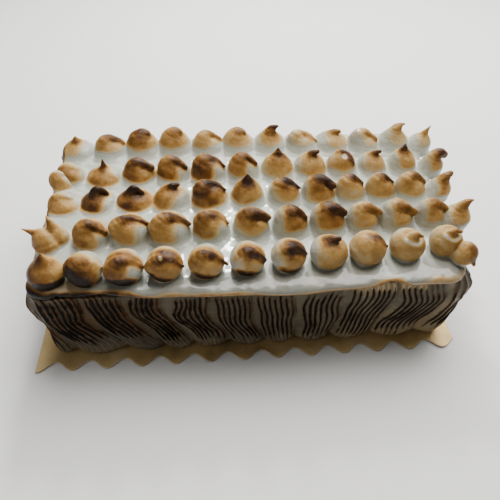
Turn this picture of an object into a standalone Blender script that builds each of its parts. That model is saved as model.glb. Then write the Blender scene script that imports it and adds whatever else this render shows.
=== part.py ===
"""Baked alaska on a gold cake card.

A long block, its four sides piped with ribbed meringue ribbons, carries a meringue slab with
rows of piped meringue kisses.  Units are metres.  +Z is up, +X runs to the right along the long
side and +Y towards the back.  The origin is the centre of the card's underside.
"""

import math
import random

import bmesh
import bpy
from mathutils import Matrix, Vector

GAP = 0.0003                    # clearance between pieces that rest on each other
SMOOTH_ANGLE = 38               # edges that fold by more than this many degrees look sharp

# Cake card: straight short edges, waved long edges
CARD_LENGTH = 0.3535
CARD_DEPTH = 0.221
CARD_THICKNESS = 0.002
WAVE_PITCH = 0.0284
WAVE_DEPTH = 0.0085
WAVE_CREST_X = -0.1469          # one crest of the wave, from which the others follow
WAVE_STEPS = 4                  # points for each pitch of the wave

# Block with its ribbed ribbons, measured at its foot
BODY_LENGTH = 0.325
BODY_DEPTH = 0.194
BODY_CORNER = 0.010
BODY_CENTRE_X = 0.0015
# Share of the height, and how far the long sides and the ends stand out there
BODY_RINGS = ((0.0, 0.0, 0.0), (0.22, -0.0015, 0.002), (0.56, 0.0005, 0.006),
              (0.82, 0.004, 0.0115), (1.0, 0.003, 0.006))
RIBBON_WIDTH = 0.0355
RIBS = 4                        # ribs in one ribbon
RIB_SHARE = 0.88                # part of a ribbon's width that its ribs take up
RIB_DEPTH = 0.0018
FOOT_LOBE = 0.0022              # how far a ribbon's foot bulges between its two edges
LEAN_LONG = 0.016               # sideways run of a rib from top to foot, on a long side
LEAN_SHORT = 0.009
LEAN_ZERO_X = 0.07              # where the ribs of the front stand upright
LEAN_REACH = 0.11
LEAN_FADE = 0.026               # the lean dies away over this length before a corner
LEAN_CURVE = 1.5                # above 1 the ribs start upright at the top and lean at the foot

# Slab
CAKE_TOP = 0.082                # height of the slab's top over the ground
SLAB_THICKNESS = 0.0085
SLAB_LENGTH = 0.344
SLAB_DEPTH = 0.205
SLAB_CORNER = 0.018
SLAB_CENTRE_X = 0.0038
SLAB_RINGS = ((0.0, -0.004, -0.004), (0.14, 0.0, 0.0), (0.42, 0.0012, 0.0012),
              (0.85, -0.0006, -0.0006), (1.0, -0.0045, -0.0045))
SLAB_STEP = 0.017               # spacing of the points along the slab's edge
LIP_WAVE = 0.0009               # height of the lower lip's waves
LIP_BAND = 0.1                  # share of the slab's height that the waves take up
LIP_LOWEST = -0.0008
# The waves that add up along the lip: radians for each metre of x and of y, and phase
LIP_WAVES = ((52, 0, 9), (31, -70, 0), (0, 88, 0))
END_FLARE = 0.007               # the right end runs out to the back by this, and in at the front
RIGHT_END_BULGE = 0.009         # how much further the right end bulges at half height
FRONT_PULL = 0.0045             # how far the front edge falls back at its left end
FRONT_PULL_X = (-0.15, -0.03)   # where that is full, and where it has died away
FRONT_SWELL = 0.0025            # how far the front edge swells out near the middle
FRONT_SWELL_X = (0.03, 0.06)    # middle and half width of that swell

# Kisses
KISS_SPACING = 0.0305
KISS_RADIUS = 0.0146
KISS_FOOT = 0.0178              # radius of the flared foot, which runs into the next one
KISS_BELLY = 0.34               # height of a dome's widest level, in kiss radii
KISS_SHOULDER = (0.78, 0.72)    # radius and height of the level where the dome closes in
KISS_THROAT = 0.98              # height where the tip begins
TIP_TAPER = 0.5                 # radius of the tip at its middle, over the neck's
ROW_PLUMP = (0.88, 0.95, 0.98, 1.04, 1.18)      # height of the domes, back row first
KISS_SIDES = 9
FIRST_KISS_X = -0.1520
ROW_Y = (0.0825, 0.0420, 0.0045, -0.0375, -0.0785)      # back row first
# How far each row runs off its straight line: constant, slope and bow towards the back
DRIFT_ACROSS = ((0.0013, 0.0154, -0.0220), (0.0010, -0.0025, 0.0), (0.0015, -0.0040, 0.0),
                (-0.0020, 0.0050, 0.0), (-0.0025, 0.0, 0.0100))
# and constant, slope, wave and arch to the right
DRIFT_ALONG = ((-0.0020, 0.0055, -0.0005, 0.0015), (0.0005, 0.0025, 0.0025, 0.0005),
               (0.0020, -0.0020, 0.0048, 0.0010), (0.0030, 0.0015, 0.0042, -0.0015),
               (0.0025, 0.0015, 0.0015, -0.0055))
# Last kiss of each row, over the right rim
EDGE_KISSES = ((0.1800, 0.0720), (0.1800, 0.0345), (0.1745, -0.0005), (0.1750, -0.0405),
               (0.1655, -0.0835))
EDGE_KISS_RADIUS = 0.0125
EDGE_LEAN = 0.22                # sideways run over height of the kisses on the right rim
RANDOM_SEED = 41
SIZE_SPREAD = 0.03              # how unevenly a kiss's radius, tip and bend come out
TIP_SPREAD = 0.08
BEND_SPREAD = 0.11
HEADING_SPREAD = 14             # degrees

# One letter for each kiss of a row, left to right; back row first
ROW_TIPS = ("sccdtcbtncbs", "mshctcsntnse", "mhhhfstkccce", "lcfftkckkkkb", "sttftccnkooe")

# Each kind of kiss: dome over the usual size, tip length and neck radius in kiss radii, then
# the tip's bend and heading in degrees
TIPS = {
    "s": (1.00, 0.52, 0.34, 12, 0),       # upright spike
    "b": (1.00, 0.54, 0.36, 46, 0),       # spike that bends over
    "h": (1.00, 0.66, 0.38, 92, 0),       # hook
    "c": (1.00, 0.44, 0.44, 74, 0),       # curl
    "f": (1.03, 0.56, 0.46, 84, 0),       # flopped curl
    "t": (1.00, 0.54, 0.38, 80, -12),     # thin tail
    "n": (1.00, 0.30, 0.34, 22, 0),       # nub
    "k": (1.02, 0.46, 0.48, 66, -6),      # thick nose
    "o": (1.02, 0.26, 0.30, 26, 30),      # small nub in a ring
    "d": (1.00, 0.30, 0.50, 14, 0),       # pointed dome
    "m": (0.88, 0.16, 0.50, 20, 0),       # smeared
    "l": (0.92, 0.62, 0.40, 44, 165),     # spike to the left
    "w": (0.90, 1.45, 0.52, 88, 184),     # long spike that lies out to the left
    "e": (1.00, 0.44, 0.42, 56, 0),       # blunt tip over the rim
}

# Kisses outside the grid, on the left rim: row, x, y, radius, tip
LEFT_RIM_KISSES = ((3, -0.1590, -0.0460, 0.0105, "w"), (2, -0.1610, 0.0170, 0.0070, "n"))

COLLECTION = "baked_alaska"
HELPERS = "baked_alaska_helpers"


def clear_scene():
    """Empty the file of objects."""
    for old in list(bpy.data.objects):
        bpy.data.objects.remove(old, do_unlink=True)


def new_collection(name):
    """Make a collection under the scene."""
    collection = bpy.data.collections.new(name)
    bpy.context.scene.collection.children.link(collection)
    return collection


def material(name, colour, roughness, metallic=0.0):
    """Principled material of one piece."""
    made = bpy.data.materials.new(name)
    made.use_nodes = True
    shader = made.node_tree.nodes["Principled BSDF"]
    shader.inputs["Base Color"].default_value = (*colour, 1.0)
    shader.inputs["Roughness"].default_value = roughness
    shader.inputs["Metallic"].default_value = metallic
    return made


def evaluated_mesh(holder):
    """Mesh of an object as its modifiers leave it, in the object's own frame."""
    bpy.context.view_layer.update()
    graph = bpy.context.evaluated_depsgraph_get()
    return bpy.data.meshes.new_from_object(holder.evaluated_get(graph), depsgraph=graph)


def mesh_object(name, mesh, collection, finish=None):
    """Object for a finished mesh."""
    made = bpy.data.objects.new(name, mesh)
    collection.objects.link(made)
    if finish is not None:
        mesh.materials.clear()
        mesh.materials.append(finish)
        mesh.shade_smooth()
        mesh.set_sharp_from_angle(angle=math.radians(SMOOTH_ANGLE))
    return made


def extruded_outline(points, height, helpers):
    """Closed mesh of a flat outline, from z = 0 up to the height."""
    curve = bpy.data.curves.new("outline", "CURVE")
    curve.dimensions = "2D"
    curve.fill_mode = "BOTH"
    curve.extrude = height / 2
    spline = curve.splines.new("POLY")
    spline.points.add(len(points) - 1)
    for spot, (x, y) in zip(spline.points, points):
        spot.co = (x, y, 0.0, 1.0)
    spline.use_cyclic_u = True
    holder = bpy.data.objects.new("outline", curve)
    helpers.objects.link(holder)
    mesh = evaluated_mesh(holder)
    bpy.data.objects.remove(holder, do_unlink=True)
    work = bmesh.new()
    work.from_mesh(mesh)
    bmesh.ops.remove_doubles(work, verts=work.verts, dist=0.00001)
    bmesh.ops.translate(work, verts=work.verts, vec=(0, 0, height / 2))
    bmesh.ops.recalc_face_normals(work, faces=work.faces)
    work.to_mesh(mesh)
    work.free()
    return mesh


def rounded_rectangle(length, depth, corner, distances):
    """Point and outward normal at each distance along a rounded rectangle's edge.

    The walk starts at the front's left end and runs anticlockwise, seen from above.
    """
    flat_x = length / 2 - corner
    flat_y = depth / 2 - corner
    arc = corner * math.pi / 2
    corners = (Vector((flat_x, -flat_y)), Vector((flat_x, flat_y)),
               Vector((-flat_x, flat_y)), Vector((-flat_x, -flat_y)))
    found = []
    for distance in distances:
        rest = distance
        for side in range(4):
            turn = side * math.pi / 2
            along = Vector((math.cos(turn), math.sin(turn)))
            out = Vector((math.sin(turn), -math.cos(turn)))
            run = 2 * (flat_y if side % 2 else flat_x)
            if rest <= run:
                start = corners[side - 1] + out * corner
                found.append((start + along * rest, out))
                break
            rest -= run
            if rest <= arc:
                angle = turn - math.pi / 2 + rest / corner
                normal = Vector((math.cos(angle), math.sin(angle)))
                found.append((corners[side] + normal * corner, normal))
                break
            rest -= arc
    return found


def edge_length(length, depth, corner):
    """Length of a rounded rectangle's edge."""
    return 2 * (length + depth) - 8 * corner + 2 * math.pi * corner


def edge_normal(x, y, length, depth, corner):
    """Outward normal of a rounded rectangle at a point near its edge."""
    core_x = max(-(length / 2 - corner), min(length / 2 - corner, x))
    core_y = max(-(depth / 2 - corner), min(depth / 2 - corner, y))
    away = Vector((x - core_x, y - core_y))
    return away.normalized() if away.length > 0.000001 else Vector((0.0, 0.0))


def ring_offset(rings, share, normal):
    """Outward offset at a share of the height, between the rings that are given."""
    for (low, low_side, low_end), (high, high_side, high_end) in zip(rings, rings[1:]):
        if share <= high + 0.0001:
            mix = (share - low) / (high - low)
            side = low_side + (high_side - low_side) * mix
            end = low_end + (high_end - low_end) * mix
            return side * normal.y ** 2 + end * normal.x ** 2
    return 0.0


def ringed_block(name, points, height, rings, warp, collection, helpers, finish):
    """Extruded outline cut level by level at its rings, with each point moved by warp."""
    mesh = extruded_outline(points, height, helpers)
    work = bmesh.new()
    work.from_mesh(mesh)
    for share, _, _ in rings[1:-1]:
        everything = list(work.verts) + list(work.edges) + list(work.faces)
        bmesh.ops.bisect_plane(work, geom=everything, dist=0.000001,
                               plane_co=(0, 0, height * share), plane_no=(0, 0, 1))
    for spot in work.verts:
        share = max(0.0, min(1.0, spot.co.z / height))
        spot.co = warp(spot.co.x, spot.co.y, share)
    work.to_mesh(mesh)
    work.free()
    return mesh_object(name, mesh, collection, finish)


def make_card(collection, helpers):
    """Cake card whose long edges run in a smooth wave."""
    half = CARD_LENGTH / 2
    middle = CARD_DEPTH / 2 - WAVE_DEPTH / 2
    count = round(CARD_LENGTH / WAVE_PITCH * WAVE_STEPS)
    front = []
    for step in range(count + 1):
        x = -half + CARD_LENGTH * step / count
        wave = math.cos(2 * math.pi * (x - WAVE_CREST_X) / WAVE_PITCH)
        front.append((x, -middle - WAVE_DEPTH / 2 * wave))
    back = [(x, -y) for x, y in reversed(front)]
    mesh = extruded_outline(front + back, CARD_THICKNESS, helpers)
    finish = material("card_gold_foil", (0.62, 0.47, 0.24), 0.35, 0.6)
    return mesh_object("cake_card", mesh, collection, finish)


def ribbon_outline():
    """Points of the ribbed edge, each with its distance along the edge."""
    edge = edge_length(BODY_LENGTH, BODY_DEPTH, BODY_CORNER)
    ribbons = round(edge / RIBBON_WIDTH)
    width = edge / ribbons
    rib = width * RIB_SHARE / RIBS
    distances = []
    depths = []
    for ribbon in range(ribbons):
        for step in range(2 * RIBS + 1):
            distances.append(ribbon * width + step * rib / 2)
            crest = step % 2 == 1
            lobe = FOOT_LOBE * math.sin(math.pi * (step + 0.5) / (2 * RIBS + 1))
            depths.append(lobe - FOOT_LOBE / 2 + (0.0 if crest else -RIB_DEPTH))
    spots = rounded_rectangle(BODY_LENGTH, BODY_DEPTH, BODY_CORNER, distances)
    return [tuple(point + normal * out) for (point, normal), out in zip(spots, depths)]


def fade(along, half):
    """1 in the middle of a side, falling to 0 at its corners."""
    return max(0.0, min(1.0, (half - abs(along)) / LEAN_FADE))


def swing(along, zero, reach):
    """Smooth change from 1 on the near side of zero to -1 on its far side."""
    return -math.sin(math.pi / 2 * max(-1.0, min(1.0, (along - zero) / reach)))


def make_body(collection, helpers):
    """Block with ribbed sides: the ribs lean, and the sides pull in above the foot."""
    height = CAKE_TOP - SLAB_THICKNESS - CARD_THICKNESS - 2 * GAP

    def warp(x, y, share):
        normal = edge_normal(x, y, BODY_LENGTH, BODY_DEPTH, BODY_CORNER)
        out = ring_offset(BODY_RINGS, share, normal)
        drop = (1 - share) ** LEAN_CURVE
        if abs(normal.y) > abs(normal.x):
            side = -1 if y < 0 else 1
            lean = -side * LEAN_LONG * swing(-side * x, LEAN_ZERO_X, LEAN_REACH)
            x += lean * drop * fade(x, BODY_LENGTH / 2)
        elif abs(normal.x) > 0:
            y += LEAN_SHORT * swing(y, 0.0, BODY_DEPTH / 2) * drop * fade(y, BODY_DEPTH / 2)
        end = max(0.0, x / (BODY_LENGTH / 2)) ** 2
        x += end * RIGHT_END_BULGE * 4 * share * (1 - share)
        return Vector((x + normal.x * out + BODY_CENTRE_X, y + normal.y * out,
                       CARD_THICKNESS + GAP + height * share))

    finish = material("body_toasted_meringue", (0.34, 0.22, 0.12), 0.55)
    return ringed_block("cake_body", ribbon_outline(), height, BODY_RINGS, warp,
                        collection, helpers, finish)


def front_edge_shift(x):
    """How far the slab's front edge lies back from a straight line."""
    low, high = FRONT_PULL_X
    share = max(0.0, min(1.0, (high - x) / (high - low)))
    middle, half_width = FRONT_SWELL_X
    swell = FRONT_SWELL * math.exp(-((x - middle) / half_width) ** 2)
    return FRONT_PULL * share * share * (3 - 2 * share) - swell


def make_slab(collection, helpers):
    """Meringue slab with a rounded edge and a wavy lower lip."""
    edge = edge_length(SLAB_LENGTH, SLAB_DEPTH, SLAB_CORNER)
    count = round(edge / SLAB_STEP)
    spots = rounded_rectangle(SLAB_LENGTH, SLAB_DEPTH, SLAB_CORNER,
                              [edge * (step + 0.5) / count for step in range(count)])
    points = [tuple(point) for point, _ in spots]

    def warp(x, y, share):
        normal = edge_normal(x, y, SLAB_LENGTH, SLAB_DEPTH, SLAB_CORNER)
        out = ring_offset(SLAB_RINGS, share, normal)
        wave = sum(math.sin(by_x * x + by_y * y + phase) for by_x, by_y, phase in LIP_WAVES)
        near = max(0.0, 1 - abs(share - SLAB_RINGS[1][0]) / LIP_BAND)
        lip = max(LIP_LOWEST, near * wave * LIP_WAVE / 2)
        end = max(0.0, x / (SLAB_LENGTH / 2)) ** 2
        y += front_edge_shift(x) * max(0.0, -y / (SLAB_DEPTH / 2)) ** 3
        x += end * END_FLARE * y / (SLAB_DEPTH / 2)
        return Vector((x + normal.x * out + SLAB_CENTRE_X, y + normal.y * out,
                       CAKE_TOP - SLAB_THICKNESS * (1 - share) + lip))

    finish = material("slab_meringue", (0.83, 0.81, 0.74), 0.3)
    return ringed_block("meringue_slab", points, SLAB_THICKNESS, SLAB_RINGS, warp,
                        collection, helpers, finish)


def turned_kiss(radius, plump, foot, tip_length, neck, helpers):
    """Upright kiss turned about Z, with its foot's centre at the origin."""
    belly = KISS_BELLY * radius * plump
    shoulder = KISS_SHOULDER[1] * radius * plump
    throat = KISS_THROAT * radius * plump
    top = throat + tip_length
    profile = ((0, top), (TIP_TAPER * neck, throat + tip_length / 2), (neck, throat),
               (KISS_SHOULDER[0] * radius, shoulder), (radius, belly), (foot, 0), (0, 0))
    mesh = bpy.data.meshes.new("kiss_profile")
    edges = [(step, step + 1) for step in range(len(profile) - 1)]
    mesh.from_pydata([(x, 0.0, z) for x, z in profile], edges, [])
    holder = bpy.data.objects.new("kiss_profile", mesh)
    helpers.objects.link(holder)
    screw = holder.modifiers.new("turn", "SCREW")
    screw.steps = KISS_SIDES
    screw.render_steps = KISS_SIDES
    screw.use_merge_vertices = True
    screw.merge_threshold = 0.00005
    turned = evaluated_mesh(holder)
    bpy.data.objects.remove(holder, do_unlink=True)
    return turned, shoulder, top


def bend_tip(mesh, shoulder, top, bend, heading):
    """Bend everything above the shoulder along an arc towards the heading."""
    length = top - shoulder
    turn_axis = Vector((-math.sin(heading), math.cos(heading), 0))
    forward = Vector((math.cos(heading), math.sin(heading), 0))
    for spot in mesh.vertices:
        share = (spot.co.z - shoulder) / length
        if share <= 0.0001:
            continue
        angle = bend * share
        across = Vector((spot.co.x, spot.co.y, 0))
        centre = Vector((0, 0, shoulder + length / bend * math.sin(angle)))
        centre += forward * length / bend * (1 - math.cos(angle))
        spot.co = centre + Matrix.Rotation(angle, 3, turn_axis) @ across


def make_kiss(place, radius, foot, plump, letter, lean, rng, helpers):
    """One kiss, standing on the slab with its foot's centre at the place."""
    dome, tip_length, neck, bend, heading = TIPS[letter]
    radius *= dome * (1 + rng.uniform(-SIZE_SPREAD, SIZE_SPREAD))
    stretch = 1 + rng.uniform(-TIP_SPREAD, TIP_SPREAD)
    bend = math.radians(bend * (1 + rng.uniform(-BEND_SPREAD, BEND_SPREAD)))
    heading = math.radians(heading + rng.uniform(-HEADING_SPREAD, HEADING_SPREAD))
    mesh, shoulder, top = turned_kiss(radius, plump, foot, tip_length * radius * stretch,
                                      neck * radius, helpers)
    bend_tip(mesh, shoulder, top, bend, heading)
    for spot in mesh.vertices:
        spot.co += Vector((place[0] + lean * spot.co.z, place[1], CAKE_TOP + GAP))
    made = mesh_object("kiss", mesh, helpers)
    made.hide_render = True
    made.display_type = "WIRE"
    return made


def kiss_place(number, x):
    """Centre of the kiss that belongs at x in a row, moved by the row's drift."""
    share = (x - FIRST_KISS_X) / (10 * KISS_SPACING)
    shift, slope, bow = DRIFT_ACROSS[number]
    across = shift + slope * share + bow * share * share
    shift, slope, wave, arch = DRIFT_ALONG[number]
    along = shift + slope * share + arch * 4 * share * (1 - share)
    along += wave * math.sin(2 * math.pi * (share - 0.4))
    return x + along, ROW_Y[number] + across


def make_row(number, collection, helpers, rng, finish):
    """One row of kisses, joined where their feet run into each other."""
    plump = ROW_PLUMP[number]
    *grid_letters, edge_letter = ROW_TIPS[number]
    kisses = []
    for column, letter in enumerate(grid_letters):
        place = kiss_place(number, FIRST_KISS_X + column * KISS_SPACING)
        kisses.append(make_kiss(place, KISS_RADIUS, KISS_FOOT, plump, letter, 0.0, rng, helpers))
    kisses.append(make_kiss(EDGE_KISSES[number], EDGE_KISS_RADIUS, EDGE_KISS_RADIUS, plump,
                            edge_letter, EDGE_LEAN, rng, helpers))
    for row, x, rim_y, radius, letter in LEFT_RIM_KISSES:
        if row == number:
            kisses.append(make_kiss((x, rim_y), radius, radius, plump, letter,
                                    -EDGE_LEAN, rng, helpers))
    base = kisses[0]
    for other in kisses[1:]:
        union = base.modifiers.new("join", "BOOLEAN")
        union.operation = "UNION"
        union.solver = "EXACT"
        union.object = other
    mesh = evaluated_mesh(base)
    for kiss in kisses:
        bpy.data.objects.remove(kiss, do_unlink=True)
    return mesh_object(f"kiss_row_{number + 1}", mesh, collection, finish)


def main():
    """Build the whole object."""
    clear_scene()
    collection = new_collection(COLLECTION)
    helpers = new_collection(HELPERS)
    rng = random.Random(RANDOM_SEED)
    make_card(collection, helpers)
    make_body(collection, helpers)
    make_slab(collection, helpers)
    for number in range(len(ROW_Y)):
        finish = material(f"kiss_row_{number + 1}_toast", (0.55, 0.36, 0.17), 0.4)
        make_row(number, collection, helpers, rng, finish)


main()
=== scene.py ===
"""Looks of the baked alaska: torched meringue kisses, slab and piped sides on a gold card.

Everything is in metres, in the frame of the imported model.  Row 1 of the kisses is at the back.
"""

import itertools
import math
from types import SimpleNamespace

import bmesh
import bpy
import numpy as np
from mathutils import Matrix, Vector


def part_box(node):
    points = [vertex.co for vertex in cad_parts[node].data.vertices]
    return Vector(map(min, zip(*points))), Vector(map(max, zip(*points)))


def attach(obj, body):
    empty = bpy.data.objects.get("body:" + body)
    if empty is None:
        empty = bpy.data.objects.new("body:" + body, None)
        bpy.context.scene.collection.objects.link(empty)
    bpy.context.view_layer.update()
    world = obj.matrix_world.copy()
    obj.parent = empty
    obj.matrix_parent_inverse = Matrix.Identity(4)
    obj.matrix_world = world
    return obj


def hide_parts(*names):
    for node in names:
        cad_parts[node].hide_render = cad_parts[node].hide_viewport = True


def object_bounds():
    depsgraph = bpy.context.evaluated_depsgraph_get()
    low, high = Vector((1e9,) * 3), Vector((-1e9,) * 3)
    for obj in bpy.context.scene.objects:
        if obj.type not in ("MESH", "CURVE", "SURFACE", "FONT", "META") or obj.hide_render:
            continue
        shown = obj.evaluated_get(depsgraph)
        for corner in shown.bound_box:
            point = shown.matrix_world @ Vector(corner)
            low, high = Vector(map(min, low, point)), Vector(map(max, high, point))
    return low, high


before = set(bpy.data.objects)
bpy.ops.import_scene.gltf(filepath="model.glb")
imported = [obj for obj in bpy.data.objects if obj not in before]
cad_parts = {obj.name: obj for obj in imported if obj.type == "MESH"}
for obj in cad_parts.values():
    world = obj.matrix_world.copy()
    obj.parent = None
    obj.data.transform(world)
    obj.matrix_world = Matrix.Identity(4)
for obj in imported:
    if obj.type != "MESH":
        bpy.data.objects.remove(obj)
cad_low, cad_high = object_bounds()

# Grid of the kisses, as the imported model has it: how each row drifts across and along, and
# the last kiss of each row, over the right rim
KISS_SPACING = 0.0305
FIRST_KISS_X = -0.1520
ROW_Y = (0.0825, 0.0420, 0.0045, -0.0375, -0.0785)
DRIFT_ACROSS = ((0.0013, 0.0154, -0.0220), (0.0010, -0.0025, 0.0), (0.0015, -0.0040, 0.0),
                (-0.0020, 0.0050, 0.0), (-0.0025, 0.0, 0.0100))
DRIFT_ALONG = ((-0.0020, 0.0055, -0.0005, 0.0015), (0.0005, 0.0025, 0.0025, 0.0005),
               (0.0020, -0.0020, 0.0048, 0.0010), (0.0030, 0.0015, 0.0042, -0.0015),
               (0.0025, 0.0015, 0.0015, -0.0055))
EDGE_KISSES = ((0.1800, 0.0720), (0.1800, 0.0345), (0.1745, -0.0005), (0.1750, -0.0405),
               (0.1655, -0.0835))
EDGE_LEAN = 0.20
LEFT_RIM_LEAN = -0.20

# Each row's domes: height of the widest level, with the dome's own height as 1, and how far
# the foot spreads; a row whose feet spread less than BALL_SPREAD is of balls that overhang them
ROW_BELLY = (0.16, 0.18, 0.20, 0.26, 0.40)
ROW_SPREAD = (0.62, 0.58, 0.54, 0.42, 0.10)
BALL_SPREAD = 0.2

# One digit for each kiss, left to right: its radius and its height, each from 0 to 9
SIZE_FROM, SIZE_STEP = 0.0090, 0.0008
HEIGHT_FROM, HEIGHT_STEP = 0.0080, 0.0018
ROW_SIZE = ("788888888884", "477787776553", "666776675563", "178977776754", "667666676651")
ROW_HEIGHT = ("234433333343", "213455556453", "011355555553", "246665665554", "477777777774")

# One letter for each kiss's tip, left to right
ROW_TIPS = ("scddcdbtncbi", "mpkctcsnrnse", "mhhnfstkcccu", "lcgftkckkkkb", "vtfgtccnyoox")

# Each kind of tip, with the dome's radius and height as 1: plan angle and reach of its root
# and of its end, height of its root, crest and end, thickness of root and end, softness of
# the join
TIPS = {
    "s": (90, 0.05, 80, 0.10, 0.45, 1.12, 1.50, 0.60, 0.06, 0.38),
    "v": (90, 0.05, 70, 0.12, 0.45, 1.20, 1.66, 0.74, 0.08, 0.32),
    "p": (90, 0.05, 80, 0.08, 0.40, 1.25, 1.95, 0.46, 0.05, 0.26),
    "i": (0, 0.15, 0, 0.42, 0.50, 1.35, 2.05, 0.56, 0.05, 0.36),
    "b": (180, 0.05, -4, 0.50, 0.50, 1.50, 1.60, 0.60, 0.08, 0.34),
    "h": (185, 0.18, -6, 0.56, 0.55, 1.92, 0.98, 0.48, 0.15, 0.28),
    "c": (205, 0.40, -12, 0.80, 0.66, 1.27, 0.68, 0.56, 0.15, 0.25),
    "f": (210, 0.55, -12, 0.94, 0.70, 1.22, 0.60, 0.52, 0.10, 0.20),
    "g": (200, 0.66, -10, 0.99, 0.74, 1.18, 0.62, 0.40, 0.08, 0.10),
    "t": (200, 0.40, -14, 1.02, 0.68, 1.18, 0.52, 0.54, 0.07, 0.20),
    "n": (150, 0.05, -6, 0.42, 0.64, 1.06, 1.18, 0.38, 0.14, 0.22),
    "k": (190, 0.25, -12, 0.88, 0.60, 1.22, 0.78, 0.60, 0.22, 0.26),
    "y": (190, 0.15, -16, 1.03, 0.45, 0.92, 0.52, 0.80, 0.08, 0.40),
    "o": (-100, 0.40, -28, 0.56, 0.80, 1.10, 1.04, 0.33, 0.15, 0.08),
    "d": (170, 0.20, 0, 0.26, 0.44, 1.02, 1.12, 0.80, 0.26, 0.36),
    "m": (190, 0.50, -10, 0.40, 0.62, 1.00, 0.72, 0.50, 0.34, 0.36),
    "r": (160, 0.30, -35, 0.95, 0.80, 1.24, 0.52, 0.28, 0.06, 0.08),
    "l": (150, 0.05, 140, 0.62, 0.50, 1.42, 1.80, 0.70, 0.06, 0.40),
    "w": (120, 0.05, 170, 1.85, 0.50, 1.00, 1.28, 1.00, 0.05, 0.40),
    "e": (180, 0.20, 10, 0.72, 0.55, 1.55, 1.10, 0.62, 0.30, 0.24),
    "u": (180, 0.00, 10, 0.46, 0.55, 1.30, 1.42, 0.56, 0.26, 0.32),
    "x": (150, 0.20, -60, 1.15, 0.55, 1.25, 0.15, 0.60, 0.14, 0.24),
}

# Long tips lie further to the front in the front rows: how far each row's are tipped, in
# degrees, how much they then stand out, and which kinds of tip this goes for
ROW_TILT = (0, 0, 0, 10, 27)
ROW_LIFT = (1, 1, 1, 1.03, 1.10)
TILTED_TIPS = "tfgck"
TIP_PIVOT = (0, 0, 0.35)
SQUASH_FROM = 0.7
DISC_TIP = "o"

# How brown each kiss is and how charred its tip, from 0 to 9, how high its white foot
# reaches, in tenths of its radius, and which way its sheltered, pale side looks, - for none
ROW_BROWN = ("345433323222", "566674444344", "588575553444", "554455553343", "786543444455")
ROW_CHAR = ("455444544333", "265666677565", "198878987654", "156656774433", "125667876663")
ROW_FOOT = ("455555554455", "212212223334", "111112222233", "112222333344", "000111111112")
ROW_PALE = ("R-----loLMLL", "BB-rrR-l-lLL", "Br-d--ol---L", "-rrRroLllLLl", "-PR-bLLl----")

# Pale sides: plan angle, and how far from the middle of the kiss the pale part starts; a kiss
# with the other letter is pale all round
PALE_ROUND = "o"
PALE_SIDES = {"r": (-16, 0.30), "R": (-8, 0.08), "l": (172, 0.34), "L": (178, 0.06),
              "M": (180, -0.20), "d": (-42, 0.36), "b": (70, -0.10), "B": (68, -0.42),
              "P": (48, -0.06)}

# How near the tip, in radii, a pale side ends, for those that differ from the rest
TIP_SHELTER = {"r": (-0.02, 0.12), "R": (-0.02, 0.12), "d": (-0.02, 0.12),
               "P": (-0.60, -0.20), "b": (-0.60, -0.20), "B": (-0.60, -0.20)}
USUAL_SHELTER = (-0.40, 0.05)

# The torch: kisses left of the split were browned from their left, the others from their
# right; which way the pale band on the backs of the kisses looks, and how wide it is
TORCH_SPLIT_X = 0.02
TORCH_LEFT = (-0.6, 0, 0.10)
TORCH_RIGHT = (0.45, 0, 0.10)
BACK_BAND = (0.45, 0.22)
CHAR_TOAST = 0.95

# Sizes of the blotches and dents, in metres
COARSE_BLOTCH = 0.008
FINE_BLOTCH = 0.0028
FOOT_DENT = 0.009
SKIN_DENT = 0.006

# Charred flanks, by row and kiss: the flank's plan angle, how far it looks down, and how much
# of it is charred
SCORCHED = {(4, 0): (-85, -0.66, 0.10), (4, 1): (-130, -0.35, 0.24),
            (4, 2): (-110, -0.66, -0.08), (4, 3): (-115, -0.66, -0.24),
            (4, 4): (-95, -0.66, -0.28), (4, 5): (-100, -0.66, -0.28),
            (4, 6): (-80, -0.66, -0.34), (0, 0): (180, 0.10, -0.10),
            (1, 0): (185, 0.10, -0.08), (2, 0): (185, 0.10, -0.12), (3, 0): (-60, -0.66, -0.30)}

# Pale spots under curled tips, by row and kiss: plan angle and reach, radius and rise. On the
# front row's fourth kiss the pale droplet also paints a highlight.
SPOTS = {(4, 3): (-105, 0.50, 0.10, 0.05), (1, 8): (-80, 0.36, 0.19, -0.06)}

# Kisses outside the grid, on the left rim: row, x, y, radius, height, tip
LEFT_RIM_KISSES = ((3, -0.1570, -0.0450, 0.0100, 0.0105, "w"),
                   (2, -0.1600, 0.0350, 0.0105, 0.0090, "d"))

# Slab, body and card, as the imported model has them
SLAB_LENGTH = 0.344
SLAB_DEPTH = 0.205
SLAB_CORNER = 0.018
SLAB_CENTRE_X = 0.0038
SLAB_ROUND = 0.0048
FRONT_ROUND = 0.0090
END_FLARE = 0.007
FRONT_PULL = 0.0045
FRONT_PULL_X = (-0.150, -0.030)
FRONT_SWELL = 0.0025
NOTCH_X = 0.107
DIP_X = 0.126
BODY_LENGTH = 0.325
BODY_DEPTH = 0.194
BODY_CORNER = 0.010
BODY_CENTRE_X = 0.0015
RIBBON_WIDTH = 0.0355
RIGHT_END_BULGE = 0.009
CARD_LENGTH = 0.3535
CARD_DEPTH = 0.221
CARD_THICKNESS = 0.002
WAVE_PITCH = 0.0284
WAVE_DEPTH = 0.0085
WAVE_CREST_X = -0.1469
CARD_STEP = 0.0016

# The card's edge from below: inset, height and foil of each ring of points
CARD_RINGS = ((0.0004, 0, 0), (0, 0.0005, 0), (0, 0.0016, 0), (0.0001, 0.0019, 1),
              (0.0002, CARD_THICKNESS, 1))

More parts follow.
